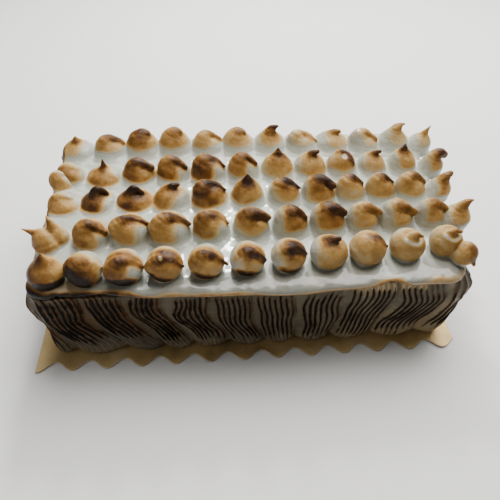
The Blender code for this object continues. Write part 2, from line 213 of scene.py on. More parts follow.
# Outline offsets of the piped wall at shares of its height, for the long sides and the ends
WALL_LEVELS = (0.0, 0.20, 0.43, 0.54, 0.64, 0.85, 1.0)
WALL_SIDE = (0.0, -0.0014, -0.0004, 0.0004, 0.0015, 0.0035, 0.0030)
WALL_END = (0.0, 0.0005, 0.0018, 0.0036, 0.0066, 0.0086, 0.0060)
WALL_ROWS = 42
WALL_OVERLAP = 0.003
RIDGE_PITCH = 0.0043
RIDGE_DEPTH = 0.0020
RIDGE_PHASES = (0.0, 0.20, 0.36, 0.45, 0.5, 0.55, 0.64, 0.80)

# Front ribbons, left to right: where each starts, how far its foot sweeps to the right, how
# charred its ridges are and how much of a ridge the char covers, the height where the char
# ends; then how much of any ribbon's width is smooth before its ridges, which ribbons have a
# wider smooth part, and where the ridges and the ribbon's own face end
FRONT_STARTS = (-0.161, -0.127, -0.0965, -0.066, -0.031, 0.002, 0.036, 0.074, 0.114, 0.153)
FRONT_LEANS = (0.019, 0.027, 0.024, 0.016, 0.012, 0.007, 0.000, -0.010, -0.014, -0.008)
FRONT_CHARS = ((0.98, 0.80), (0.98, 0.76), (0.98, 0.72), (0.99, 0.66), (0.99, 0.60), (0.99, 0.56),
               (0.99, 0.58), (0.97, 0.58), (0.95, 0.56), (0.90, 0.54))
FRONT_TOPS = (0.99, 0.99, 0.97, 0.93, 0.88, 0.87, 0.85, 0.88, 0.86, 0.90)
GAP, WIDE_GAP = 0.07, 0.14
WIDE_GAPS = (1, 2, 3, 6, 11, 15, 20, 24)
RIDGES_END, RIBBON_END = 0.95, 0.975

# Meshing: cells of the sampling grids, how far the grids reach past the kisses, how deep the
# kisses sink into the slab, how few faces make a crumb, and how near level is flat. ROW_BELOW
# keeps the planes of the grids off the flat undersides
ROW_CELL = (0.00094, 0.00092, 0.00090, 0.00085, 0.00082)
SLAB_CELL = 0.00115
TAIL_STEPS = 9
TAIL_MIDDLE = TAIL_STEPS // 2
ROW_MARGIN = (0.031, 0.026, 0.0)
ROW_BELOW, ROW_ABOVE = 0.00193, 0.031
KISS_SPAN = ((0.028, 0.030), (0.026, 0.026), (0.003, 0.034))
KISS_SINK = 0.0014
SLAB_FLAT_RISE = 0.0012
CRUMB_FACES = 400
LEVEL_TOLERANCE = 0.00002
NOISE_SIZE = 32
SEED = 7

# Colour by toast, from bare meringue, 0, to charred, 1: stops of toast and linear colour
KISS_STOPS = ((0.0, (0.46, 0.475, 0.42)), (0.05, (0.36, 0.355, 0.295)),
              (0.13, (0.49, 0.40, 0.235)), (0.30, (0.45, 0.268, 0.080)),
              (0.52, (0.225, 0.102, 0.020)), (0.75, (0.060, 0.022, 0.005)),
              (0.96, (0.010, 0.005, 0.003)))
# The slab's dark grey stop at 0.06 is there to paint shade on the slab's front margin
SLAB_STOPS = ((0.0, (0.41, 0.43, 0.375)), (0.06, (0.235, 0.23, 0.19)),
              (0.14, (0.40, 0.31, 0.175)), (0.30, (0.37, 0.20, 0.055)),
              (0.52, (0.170, 0.072, 0.014)), (0.75, (0.045, 0.018, 0.004)),
              (0.96, (0.010, 0.006, 0.003)))
# The piped sides' stops are darker than their toast alone would make them: they also paint the
# deep shade that the sides stand in
SIDE_STOPS_WITH_PAINTED_SHADE = ((0.0, (0.40, 0.29, 0.155)), (0.09, (0.125, 0.108, 0.076)),
              (0.22, (0.078, 0.062, 0.038)), (0.45, (0.100, 0.045, 0.014)),
              (0.70, (0.020, 0.009, 0.004)), (0.88, (0.0025, 0.002, 0.0015)))
GOLD_STOPS = ((0.35, (0.30, 0.20, 0.085)), (0.55, (0.56, 0.40, 0.17)),
              (0.75, (0.66, 0.50, 0.25)))
BOARD_COLOUR = (0.42, 0.34, 0.24)

# Studio: each light's name, place, target, size, power and colour
LIGHTS = (("key", (0.34, 0.58, 1.14), (0, 0, 0.06), 1.3, 49, (1.0, 0.985, 0.95)),
          ("fill", (-0.62, -0.44, 0.36), (-0.12, 0, 0.04), 0.5, 1.1, (1.0, 0.97, 0.93)),
          ("glint", (0.0, 0.80, 0.86), (0, 0, 0.08), 0.14, 8.0, (1.0, 1.0, 1.0)))
WORLD_STRENGTH = 0.09
FLOOR_REACH = 4.0
FLOOR_DROP = 0.0002
FLOOR_COLOUR = (0.8, 0.8, 0.79)
CAMERA_PLACE = (-0.0228, -0.3410, 0.3620)
CAMERA_ANGLES = (45.0, -0.537, -4.593)
CAMERA_LENS = 36.0


def smooth(low, high, value):
    """0 below low, 1 above high, with a smooth step between."""
    share = np.clip((value - low) / (high - low), 0, 1)
    return share * share * (3 - 2 * share)


def bell(value, middle, width):
    """1 at the middle, falling softly to 0 on both sides."""
    return np.exp(-((value - middle) / width) ** 2)


def blend(a, b, reach):
    """Smaller of two distances, rounded where they meet."""
    share = np.clip(0.5 + 0.5 * (b - a) / reach, 0, 1)
    return b * (1 - share) + a * share - reach * share * (1 - share)


def blend_max(a, b, reach):
    """Larger of two distances, rounded where they meet."""
    return -blend(-a, -b, reach)


def towards(degrees, reach=1.0):
    """Step in plan that goes a reach towards an angle in degrees."""
    angle = math.radians(degrees)
    return reach * math.cos(angle), reach * math.sin(angle)


def noise(points, cell, seed):
    """Smooth noise from -1 to 1, with bumps about one cell wide."""
    table = np.random.default_rng(seed).uniform(-1, 1, (NOISE_SIZE,) * 3)
    place = np.asarray(points) / cell
    base = np.floor(place).astype(int)
    part = place - base
    part = part * part * (3 - 2 * part)
    total = np.zeros(len(place))
    for corner in itertools.product((0, 1), repeat=3):
        weight = np.prod(np.where(corner, part, 1 - part), axis=1)
        x, y, z = ((base + corner) % NOISE_SIZE).T
        total += weight * table[x, y, z]
    return total


def zero_surface(field, origin, cell):
    """Vertices and quads of the closed surface where a sampled field is zero."""
    shape = np.array(field.shape) - 1
    size = int(np.prod(shape))
    count = np.zeros(size)
    total = np.zeros((3, size))
    crossings = []
    for axis in range(3):
        low = [slice(0, -1) if n == axis else slice(None) for n in range(3)]
        high = [slice(1, None) if n == axis else slice(None) for n in range(3)]
        start, end = field[tuple(low)], field[tuple(high)]
        cut = (start < 0) != (end < 0)
        corner = np.argwhere(cut)
        spot = corner.astype(float)
        spot[:, axis] += start[cut] / (start[cut] - end[cut])
        first, second = (axis + 1) % 3, (axis + 2) % 3
        around = []
        for back_first, back_second in ((1, 1), (0, 1), (0, 0), (1, 0)):
            index = corner.copy()
            index[:, first] -= back_first
            index[:, second] -= back_second
            flat = np.ravel_multi_index(index.T, shape)
            count += np.bincount(flat, minlength=size)
            for n in range(3):
                total[n] += np.bincount(flat, spot[:, n], minlength=size)
            around.append(flat)
        crossings.append((np.stack(around, 1), start[cut] < 0))
    used = count > 0
    number = np.cumsum(used) - 1
    vertices = (total[:, used] / count[used]).T * cell + origin
    quads = []
    for around, outward in crossings:
        around[~outward] = around[~outward][:, ::-1]
        quads.append(number[around])
    return vertices, np.concatenate(quads)


def grid_points(low, high, cell):
    """Axes of a sampling grid that spans a box."""
    return [np.arange(low[n] - 2 * cell, high[n] + 3 * cell, cell) for n in range(3)]


def new_mesh(name, vertices, faces, values, finish):
    """Object of a mesh, with a number for each vertex under each name in values."""
    mesh = bpy.data.meshes.new(name)
    mesh.from_pydata(vertices.tolist(), [], faces)
    for label, numbers in values.items():
        layer = mesh.attributes.new(label, "FLOAT", "POINT")
        layer.data.foreach_set("value", np.asarray(numbers, np.float32))
    mesh.materials.append(finish)
    mesh.shade_smooth()
    made = bpy.data.objects.new(name, mesh)
    bpy.context.scene.collection.objects.link(made)
    return made


def stacked_rings(name, rings, values, finish):
    """Object of rings of points joined upwards, closed by a flat face at both ends."""
    count = len(rings[0])
    index = np.arange(count)
    after = np.roll(index, -1)
    quads = [np.stack((index, after, after + count, index + count), 1) + count * n
             for n in range(len(rings) - 1)]
    faces = np.concatenate(quads).tolist()
    faces.append(list(range(count - 1, -1, -1)))
    faces.append(list(range(count * (len(rings) - 1), count * len(rings))))
    made = new_mesh(name, np.concatenate(rings), faces, values, finish)
    for face in made.data.polygons[-2:]:
        face.use_smooth = False
    return made


def vertex_normals(vertices, quads):
    """Unit normals of a quad mesh's vertices."""
    a, b, c, d = (vertices[quads[:, n]] for n in range(4))
    face = np.cross(c - a, d - b)
    normals = np.zeros_like(vertices)
    for n in range(4):
        for axis in range(3):
            normals[:, axis] += np.bincount(quads[:, n], face[:, axis], minlength=len(vertices))
    return normals / np.maximum(np.linalg.norm(normals, axis=1), 1e-12)[:, None]


# ---- kisses


def kiss_place(row, x):
    """Centre of the kiss that belongs at x in a row."""
    share = (x - FIRST_KISS_X) / (10 * KISS_SPACING)
    shift, slope, bow = DRIFT_ACROSS[row]
    across = shift + slope * share + bow * share * share
    shift, slope, wave, arch = DRIFT_ALONG[row]
    along = shift + slope * share + arch * 4 * share * (1 - share)
    along += wave * math.sin(2 * math.pi * (share - 0.4))
    return x + along, ROW_Y[row] + across


def tail_path(kind, row, rng):
    """Centres and radii of the tip's chain of balls, with the dome's radius and height as 1."""
    turn0, reach0, turn1, reach1, root, crest, end, thick, thin, join = TIPS[kind]
    turn0 += rng.uniform(-14, 14)
    turn1 += rng.uniform(-12, 12)
    stretch = rng.uniform(0.94, 1.06)
    share = np.linspace(0, 1, TAIL_STEPS)
    ease = share ** 1.2
    start = towards(turn0, reach0)
    bow = towards((turn0 + turn1) / 2, 0.35 * reach0)
    stop = towards(turn1, reach1 * stretch)
    plan = (np.outer((1 - ease) ** 2, start) + np.outer(2 * ease * (1 - ease), bow)
            + np.outer(ease ** 2, stop))
    height = ((1 - share) ** 2 * root + 2 * share * (1 - share) * (crest * stretch)
              + share ** 2 * end)
    radius = thick * (1 - share) ** 1.15 + thin * share ** 0.5
    path = np.column_stack((plan, height))
    if kind in TILTED_TIPS:
        path = tipped(path, row)
    return path, radius, join


def tipped(path, row):
    """A long tip's path turned to the front by as much as its row asks."""
    tilt, middle = math.radians(ROW_TILT[row]), np.array(TIP_PIVOT)
    turn = np.array(((1, 0, 0), (0, math.cos(tilt), -math.sin(tilt)),
                     (0, math.sin(tilt), math.cos(tilt))))
    return middle + ROW_LIFT[row] * (path - middle) @ turn.T


def make_kiss(row, column, place, radius, height, kind, lean, rng):
    """Everything that says how one kiss looks."""
    path, thickness, join = tail_path(kind, row, rng)
    keep_under_ceiling(path, thickness / (height / radius), (cad_high.z - slab_top) / height)
    return SimpleNamespace(
        centre=np.array((*place, slab_top)), radius=radius, rise=height / radius, lean=lean,
        belly=ROW_BELLY[row], spread=ROW_SPREAD[row], ball=ROW_SPREAD[row] < BALL_SPREAD,
        path=path, thickness=thickness, join=join, kind=kind, twist=rng.uniform(-1, 1),
        brown=int(ROW_BROWN[row][column]) / 9, foot=int(ROW_FOOT[row][column]) / 10,
        char=int(ROW_CHAR[row][column]) / 9, pale=ROW_PALE[row][column],
        scorched=SCORCHED.get((row, column)), spot=SPOTS.get((row, column)),
        seed=100 * row + column)


def keep_under_ceiling(path, thickness, most):
    """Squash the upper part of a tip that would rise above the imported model."""
    tallest = float((path[:, 2] + thickness).max())
    if tallest > most:
        squashed = SQUASH_FROM + (path[:, 2] - SQUASH_FROM) * (most - SQUASH_FROM) / (
            tallest - SQUASH_FROM)
        path[:, 2] = np.where(path[:, 2] > SQUASH_FROM, squashed, path[:, 2])


def local_points(points, kiss):
    """Points in kiss radii from the foot's centre, upright."""
    local = (points - kiss.centre) / kiss.radius
    local[:, 0] -= kiss.lean * local[:, 2]
    return local


def upright(local, kiss):
    """Points with the dome's height as 1."""
    return local / (1, 1, kiss.rise)


def dome_distance(local, kiss):
    """Distance to the dome, an egg whose lower end is inside the slab."""
    belly, rise = kiss.belly * kiss.rise, kiss.rise
    above = local[:, 2] > belly
    under = 1.0 if kiss.ball else (rise - belly) * 1.1
    sizes = np.where(above[:, None], (1, 1, rise - belly), (1, 1, under))
    away = local - (0, 0, belly)
    near = np.linalg.norm(away / sizes, axis=1)
    return near * (near - 1) / np.maximum(np.linalg.norm(away / sizes ** 2, axis=1), 1e-6)


def tail_distance(local, kiss):
    """Distance to the tip, how far along it the nearest place is, and the height over it."""
    path, thickness = kiss.path * (1, 1, kiss.rise), kiss.thickness
    thickness = thickness * min(1.0, 0.35 + 0.65 * kiss.rise)
    nearest = np.full(len(local), np.inf)
    along = np.zeros(len(local))
    over = np.zeros(len(local))
    for n in range(len(path) - 1):
        step = path[n + 1] - path[n]
        share = np.clip((local - path[n]) @ step / (step @ step), 0, 1)
        away = local - path[n] - share[:, None] * step
        gap = np.linalg.norm(away, axis=1)
        gap -= thickness[n] * (1 - share) + thickness[n + 1] * share
        closer = gap < nearest
        nearest = np.where(closer, gap, nearest)
        along = np.where(closer, (n + share) / (len(path) - 1), along)
        over = np.where(closer, away[:, 2], over)
    return nearest, along, over


def spot_share(local, kiss):
    """How much each point belongs to the kiss's pale spot."""
    angle, reach, size, _ = kiss.spot
    away = np.linalg.norm(local[:, :2] - towards(angle, reach), axis=1)
    return smooth(1.25 * size, 0.75 * size, away) * (local[:, 2] > 0.3)


def body_distance(local, kiss):
    """Distance to a kiss's dome and tip, without its foot."""
    tail, along, _ = tail_distance(local, kiss)
    join = kiss.join * (1 - along) ** 1.2 + 0.06
    body = blend(dome_distance(local, kiss), tail, join)
    if kiss.kind == DISC_TIP:
        reach = nub_distance(local, kiss)
        body += 0.05 * bell(reach, 0.40, 0.10)
        body -= 0.035 * bell(reach, 0.64, 0.12)
    if kiss.spot:
        body -= kiss.spot[3] * spot_share(local, kiss)
    return body


def kiss_distance(local, kiss, points):
    """Distance to the whole kiss, with the soft fillet at its foot."""
    out = np.linalg.norm(local[:, :2], axis=1)
    out = out * (1 + 0.05 * noise(points, FOOT_DENT, kiss.seed + 7))
    height = local[:, 2] + edge_fall(points) / kiss.radius
    wide, reach = 0.86 + 0.70 * kiss.spread, 0.28
    if kiss.ball:
        wide, reach = 0.70, 0.20
    skirt = height + 0.075 * smooth(wide, wide + reach, out)
    skirt = np.maximum(skirt, out - wide - reach - 0.08)
    body = blend(body_distance(local, kiss), skirt, kiss.spread)
    return np.maximum(body, -KISS_SINK / kiss.radius - height)


def corner_brown(points, coarse):
    """How browned the top's front left corner is, on the slab and the feet of its kisses."""
    x, y = points[:, 0], points[:, 1]
    return 0.34 * smooth(-0.105, -0.160, x) * smooth(-0.078, -0.092, y) * (0.8 + 0.5 * coarse)


def nub_distance(local, kiss):
    """Distance from the middle of a kiss's nub."""
    path = kiss.path * (1, 1, kiss.rise)
    return np.linalg.norm(local - path[TAIL_MIDDLE], axis=1)


def torched_share(local, normals, kiss, tail, away, coarse):
    """How much the torch reached each point: not its foot and not its sheltered side."""
    x, y, z = upright(local, kiss).T
    edge = kiss.foot + 0.08 * coarse + 0.06 * kiss.twist * x - 0.02
    reached = smooth(edge - 0.06, edge + 0.20, z)
    if kiss.ball:
        reached = smooth(-0.02 + 0.5 * kiss.foot, 0.06 + 0.8 * kiss.foot, z)
    if kiss.pale in PALE_SIDES:
        angle, begins = PALE_SIDES[kiss.pale]
        cosine, sine = towards(angle)
        side = x * cosine + y * sine + 0.16 * coarse - 0.10 * (z - 0.6)
        sheltered = smooth(begins, begins + 0.55, side)
        sheltered *= smooth(*TIP_SHELTER.get(kiss.pale, USUAL_SHELTER), tail)
        reached *= 1 - 0.94 * sheltered
    elif kiss.pale == PALE_ROUND:
        reached *= smooth(1.20, 0.72, away + 0.12 * coarse)
    if kiss.kind == DISC_TIP:
        below = smooth(-0.05, -0.45, y - kiss.path[TAIL_MIDDLE, 1] - 0.2)
        reached *= 1 - 0.85 * bell(nub_distance(local, kiss), 0.52, 0.13) * below
    return reached * (1 - 0.50 * bell(normals[:, 1], *BACK_BAND))


def torch_level(normals, kiss, centre, rough):
    """How brown each point would be if the torch reached all of the kiss."""
    torch = TORCH_LEFT if kiss.centre[0] < TORCH_SPLIT_X else TORCH_RIGHT
    facing = np.abs(normals[:, 1] - 0.25) - 0.15
    heat = normals @ np.array(torch) + 0.60 * facing
    level = kiss.brown * (0.52 + 0.36 * heat + 0.26 * rough)
    return level + 0.14 * kiss.char * centre


def tip_streak(local, kiss, along):
    """Streaks from -1 to 1 that run along a kiss's tip."""
    tip = kiss.path[-1] * (1, 1, kiss.rise)
    turn = np.arctan2(local[:, 2] - tip[2] + 0.4, local[:, 1] - tip[1])
    return noise(np.stack((6.5 * turn, 1.2 * along, along * 0 + kiss.seed), 1), 1.0, SEED)


def flank_scorch(normals, kiss, rough):
    """How charred a kiss's scorched flank is."""
    angle, tilt, offset = kiss.scorched
    flank = normals @ np.array((*towards(angle, 0.75), tilt))
    return 0.98 * smooth(0.22, 0.74, flank + offset + 0.10 * rough)


def kiss_toast(local, normals, kiss, points):
    """How brown each point of a kiss is, from 0, white, to 1, charred, and how wrinkled."""
    tail, along, over = tail_distance(local, kiss)
    coarse = noise(points, COARSE_BLOTCH, kiss.seed)
    fine = noise(points, FINE_BLOTCH, kiss.seed + 1)
    rough = 0.7 * coarse + 0.3 * fine
    away = np.linalg.norm(local[:, :2] - kiss.path[TAIL_MIDDLE, :2], axis=1)
    centre = bell(away, 0, 0.60)
    reached = torched_share(local, normals, kiss, tail, away, coarse)
    toast = np.maximum(reached * torch_level(normals, kiss, centre, rough),
                       (1 - reached) * corner_brown(points, coarse))
    near = bell(np.maximum(tail, 0), 0, 0.08 + 0.22 * smooth(-0.20, 0.15, over))
    streak = tip_streak(local, kiss, along)
    begins = 0.55 if kiss.kind == DISC_TIP else -0.05
    burnt = smooth(begins, begins + 0.65, along + 0.14 * rough)
    burnt = near * burnt * kiss.char * (1 + 0.25 * streak)
    crown = smooth(0.6, 1.0, upright(local, kiss)[:, 2])
    burnt = burnt + 0.22 * kiss.char * centre * reached * crown * (1 + streak)
    toast = toast + (CHAR_TOAST - toast) * np.clip(burnt, 0, 1) * (0.80 + 0.20 * fine)
    # Pale spot: bare meringue, and on the front row's fourth kiss also a painted highlight
    if kiss.spot:
        toast = toast * (1 - 0.95 * spot_share(local, kiss))
    if kiss.scorched:
        toast = np.maximum(toast, flank_scorch(normals, kiss, rough))
    return np.clip(toast, 0, 1), near * smooth(0.1, 0.6, along) * streak * kiss.char


def row_of_kisses(row):
    """The kisses of a row, left to right, with those on its rims."""
    rng = np.random.default_rng(SEED + row)
    kisses = []
    for column, kind in enumerate(ROW_TIPS[row]):
        place, lean = kiss_place(row, FIRST_KISS_X + column * KISS_SPACING), 0.0
        if column == len(ROW_TIPS[row]) - 1:
            place, lean = EDGE_KISSES[row], EDGE_LEAN
        radius = SIZE_FROM + SIZE_STEP * int(ROW_SIZE[row][column])
        height = HEIGHT_FROM + HEIGHT_STEP * int(ROW_HEIGHT[row][column])
        kisses.append(make_kiss(row, column, place, radius, height, kind, lean, rng))
    for rim_row, x, y, radius, height, kind in LEFT_RIM_KISSES:
        if rim_row == row:
            kisses.append(make_kiss(row, 0, (x, y), radius, height, kind, LEFT_RIM_LEAN, rng))
    return kisses


def row_field(kisses, axes):
    """Distance to the nearest kiss at each point of a grid."""
    field = np.full([len(axis) for axis in axes], 0.01)
    for kiss in kisses:
        spans = []
        for axis, middle, (less, more) in zip(axes, kiss.centre, KISS_SPAN):
            spans.append(slice(*np.searchsorted(axis, (middle - less, middle + more))))
        block = np.stack(np.meshgrid(*[axis[span] for axis, span in zip(axes, spans)],
                                     indexing="ij"), -1).reshape(-1, 3)
        distance = kiss_distance(local_points(block, kiss), kiss, block) * kiss.radius
        part = field[tuple(spans)]
        field[tuple(spans)] = blend(part, distance.reshape(part.shape), 0.0008)
    return field


def row_browning(kisses, vertices, normals):
    """Toast and wrinkles of a row's vertices, each from the kiss that it lies on."""
    toast = np.zeros(len(vertices))
    wrinkle = np.zeros(len(vertices))
    owner = np.full(len(vertices), np.inf)
    for kiss in kisses:
        away = np.linalg.norm(vertices[:, :2] - kiss.centre[:2], axis=1)
        near = np.flatnonzero(away < 2.2 * kiss.radius)
        local = local_points(vertices[near], kiss)
        gap = np.abs(np.minimum(dome_distance(local, kiss), tail_distance(local, kiss)[0]))
        closer = gap < owner[near]
        mine = near[closer]
        owner[mine] = gap[closer]
        toast[mine], wrinkle[mine] = kiss_toast(local[closer], normals[mine], kiss,
                                                vertices[mine])
    return toast, wrinkle


def make_row(row, finish):
    """One row of kisses as one mesh."""
    kisses = row_of_kisses(row)
    centres = np.array([kiss.centre for kiss in kisses])
    low = centres.min(0) - ROW_MARGIN - (0, 0, ROW_BELOW)
    high = centres.max(0) + ROW_MARGIN + (0, 0, ROW_ABOVE)
    axes = grid_points(low, high, ROW_CELL[row])
    corner = np.array([axis[0] for axis in axes])
    vertices, quads = zero_surface(row_field(kisses, axes), corner, ROW_CELL[row])
    normals = vertex_normals(vertices, quads)
    toast, wrinkle = row_browning(kisses, vertices, normals)
    lift = 0.0003 * noise(vertices, SKIN_DENT, SEED + row) + 0.0004 * wrinkle
    lift *= smooth(slab_top - 0.0008, slab_top + 0.001, vertices[:, 2])
    vertices = vertices + normals * lift[:, None]
    made = new_mesh(f"kisses_{row + 1}", vertices, quads.tolist(), {"toast": toast}, finish)
    flatten_bottom(made, slab_top - KISS_SINK)
    return made


def flatten_bottom(made, level):
    """Give a piece one face for each flat stretch of its underside, and drop its crumbs."""
    bm = bmesh.new()
    bm.from_mesh(made.data)
    drop_crumbs(bm)
    flat = [face for face in bm.faces
            if max(abs(corner.co.z - level) for corner in face.verts) < LEVEL_TOLERANCE]
    bmesh.ops.delete(bm, geom=flat, context="FACES")
    drop_crumbs(bm)
    edges = [edge for edge in bm.edges if len(edge.link_faces) == 1]
    bmesh.ops.holes_fill(bm, edges=edges, sides=0)
    bm.to_mesh(made.data)
    bm.free()


def drop_crumbs(bm):
    """Delete stray bits of a mesh that have only a few faces."""
    seen = set()
    crumbs = []
    for start in bm.faces:
        if start in seen:
            continue
        seen.add(start)
        island = [start]
        for face in island:
            for edge in face.edges:
                fresh = [f for f in edge.link_faces if f not in seen]
                seen.update(fresh)
                island.extend(fresh)
        if len(island) < CRUMB_FACES:
            crumbs.extend(island)
    bmesh.ops.delete(bm, geom=crumbs, context="FACES")


# ---- slab


def slab_edge(points):
    """Distance outside the slab's outline, less than zero inside."""
    half_x, half_y = SLAB_LENGTH / 2, SLAB_DEPTH / 2
    y = points[:, 1]
    x = points[:, 0] - SLAB_CENTRE_X
    x = x - END_FLARE * np.clip(x / half_x, 0, 1.1) ** 2 * y / half_y
    low, high = FRONT_PULL_X
    pull = FRONT_PULL * smooth(0, 1, (high - points[:, 0]) / (high - low))
    pull = pull - FRONT_SWELL * bell(points[:, 0], 0.03, 0.06)
    y = y - pull * np.clip(-y / half_y, 0, 1.1) ** 3
    away = np.stack((np.abs(x) - half_x + SLAB_CORNER, np.abs(y) - half_y + SLAB_CORNER), 1)
    outside = np.linalg.norm(np.maximum(away, 0), axis=1)
    return outside + np.minimum(away.max(1), 0) - SLAB_CORNER


def edge_fall(points):
    """How far the slab's top falls where it rounds over its edge, more gently at the front."""
    plain = 1 - 0.8 * bell(points[:, 0], NOTCH_X, 0.018)
    reach = SLAB_ROUND + FRONT_ROUND * smooth(-0.070, -0.096, points[:, 1]) * plain
    share = np.clip(1 + slab_edge(points) / reach, 0, 1)
    return SLAB_ROUND * (1 - np.sqrt(1 - (0.985 * share) ** 2))


def lip_height(x, y):
    """Height of the slab's lower edge: a slow wave, with a notch and a dip at the front right."""
    wave = 0.0009 * np.sin(47 * x + 31 * y) + 0.0006 * np.sin(113 * x - 64 * y + 1.3)
    notch = 0.0040 * bell(x, NOTCH_X, 0.0095)
    dip = 0.0022 * bell(x, DIP_X, 0.011)
    raised = 0.0044 * smooth(-0.152, -0.142, x) * smooth(-0.070, -0.098, x)
    return slab_low.z + 0.0008 + wave + (notch - dip + raised) * (y < -0.08)


def slab_surface(points):
    """Height of the slab's top: gently uneven, and falling at its edge."""
    top = slab_top - 0.00045 + 0.00045 * noise(points * (1, 1, 0), 0.012, SEED + 80)
    top += 0.00030 * noise(points * (1, 1, 0), 0.0045, SEED + 81)
    return top - edge_fall(points)


def make_slab(finish):
    """The slab under the kisses."""
    axes = grid_points(slab_low - Vector((0.002, 0.002, 0.002)),
                       slab_high + Vector((0.002, 0.002, 0.001)), SLAB_CELL)
    plan = np.stack(np.meshgrid(axes[0], axes[1], [0.0], indexing="ij"), -1).reshape(-1, 3)
    shape = (len(axes[0]), len(axes[1]), 1)
    edge = slab_edge(plan) + 0.0007 * noise(plan, 0.022, SEED + 82)
    top = slab_surface(plan).reshape(shape)
    flat = slab_low.z + SLAB_FLAT_RISE
    low = flat + (lip_height(plan[:, 0], plan[:, 1]) - flat) * smooth(-0.016, -0.009, edge)
    low, edge = low.reshape(shape), edge.reshape(shape)
    z = axes[2][None, None, :]
    belly = 0.0012 * ((z - slab_low.z - 0.005) / 0.005) ** 2
    field = -blend(-blend_max(edge + belly, low - z, 0.0022), top - z, 0.0006)
    vertices, quads = zero_surface(field, np.array([axis[0] for axis in axes]), SLAB_CELL)
    made = new_mesh("meringue_slab_top", vertices, quads.tolist(),
                    {"toast": slab_toast_and_shade(vertices)}, finish)
    flatten_bottom(made, flat)
    return made


def slab_toast_and_shade(vertices):
    """How brown the slab is: along its lower edge, and in patches at the front's two ends; a
    light grey over its front margin is painted shade.
    """
    x, y, z = vertices.T
    side = smooth(-0.006, -0.001, slab_edge(vertices))
    coarse = noise(vertices, 0.016, SEED + 83)
    fine = noise(vertices, 0.004, SEED + 84)
    low = lip_height(x, y)
    lip = smooth(low + 0.0048, low + 0.0016, z + 0.0012 * coarse + 0.0006 * fine) * side
    ends = smooth(-0.060, -0.125, x) + smooth(0.080, 0.125, x) + 1.2 * smooth(-0.125, -0.150, x)
    patch = side * ends * smooth(-0.45, 0.45, coarse + 0.3 * fine + 0.5 * smooth(-0.13, -0.15, x))
    speck = noise(vertices, 0.0034, SEED + 85) * smooth(-0.086, -0.092, y)
    # Painted shade: a light grey over the front margin of the slab's top
    painted_shade = 0.05 * smooth(-0.078, -0.094, y) * (1 + 0.5 * coarse)
    lip = lip * (1 + 0.8 * smooth(-0.060, -0.100, x))
    patch = patch + 1.5 * side * smooth(-0.095, -0.145, x) * smooth(-0.080, -0.100, y)
    toast = lip * (0.40 + 0.16 * fine) + 0.24 * patch + 0.32 * smooth(0.84, 0.94, speck) + painted_shade
    toast = toast + corner_brown(vertices, coarse)
    return np.clip(toast, 0, 1)


# ---- piped sides


def wall_spots(distances):
    """Point and outward normal at each distance round the body's outline."""
    flat_x, flat_y = BODY_LENGTH / 2 - BODY_CORNER, BODY_DEPTH / 2 - BODY_CORNER
    arc = BODY_CORNER * math.pi / 2
    runs = (2 * flat_x, arc, 2 * flat_y, arc, 2 * flat_x, arc, 2 * flat_y, arc)
    starts = np.concatenate(((0,), np.cumsum(runs)))
    rest = np.mod(distances, starts[-1])
    leg = np.clip(np.searchsorted(starts, rest, side="right") - 1, 0, 7)
    rest = rest - starts[leg]
    side = leg // 2
    flat = leg % 2 == 0
    turn = side * math.pi / 2 - math.pi / 2 + np.where(flat, 0, rest / BODY_CORNER)
    normal = np.stack((np.cos(turn), np.sin(turn)), 1)
    corners = np.array(((flat_x, -flat_y), (flat_x, flat_y), (-flat_x, flat_y),
                        (-flat_x, -flat_y)))
    along = np.stack((-normal[:, 1], normal[:, 0]), 1)
    spots = np.where(flat[:, None], corners[side - 1] + along * rest[:, None], corners[side])
    return spots + normal * BODY_CORNER, normal


def ribbon_plan():
    """Every ribbon's start and width round the outline, ridges, lean, char and line width."""
    front = 2 * (BODY_LENGTH / 2 - BODY_CORNER)
    edge = 2 * (BODY_LENGTH + BODY_DEPTH) - 8 * BODY_CORNER + 2 * math.pi * BODY_CORNER
    rng = np.random.default_rng(SEED + 20)
    starts = [x + BODY_LENGTH / 2 - BODY_CORNER - BODY_CENTRE_X for x in FRONT_STARTS]
    leans = list(FRONT_LEANS)
    chars = list(FRONT_CHARS)
    tops = list(FRONT_TOPS)
    rest = edge - (starts[-1] - starts[0])
    count = round(rest / RIBBON_WIDTH)
    last = starts[-1]
    for n in range(count - 1):
        starts.append(last + rest * (n + 1) / count)
        place = (starts[-1] - front) / (edge - front)
        sweep = 0.016 * math.sin(2 * math.pi * (2.2 * place + 0.3))
        leans.append(sweep + rng.uniform(-0.004, 0.004))
        chars.append((rng.uniform(0.88, 0.98), rng.uniform(0.46, 0.72)))
        tops.append(rng.uniform(0.86, 0.97))
    ribbons = []
    for n, start in enumerate(starts):
        end = starts[n + 1] if n + 1 < len(starts) else starts[0] + edge
        gap = WIDE_GAP if n in WIDE_GAPS else GAP
        ribbons.append({"start": start, "width": end - start, "lean": leans[n],
                        "char": chars[n][0], "line": chars[n][1], "top": tops[n],
                        "seed": 300 + n, "gap": gap,
                        "ridges": round((end - start) * (RIDGES_END - gap) / RIDGE_PITCH)})
    return ribbons


def ridge_layout(ribbons):
    """Share of its ribbon's width, ridge height, lane and ribbon of each point of a level."""
    points = []
    for n, ribbon in enumerate(ribbons):
        gap = ribbon["gap"]
        pitch = (RIDGES_END - gap) / ribbon["ridges"]
        points += [(share, 0.0, 0, n) for share in (0.0, gap / 3, gap / 1.5)]
        for line in range(ribbon["ridges"]):
            points += [(gap + pitch * (line + phase), 1 - abs(2 * phase - 1), line, n)
                       for phase in RIDGE_PHASES]
        points.append((RIBBON_END, 0.0, ribbon["ridges"], n))
    place, ridge, lane, number = np.array(points).T
    return place, ridge, lane, number.astype(int)


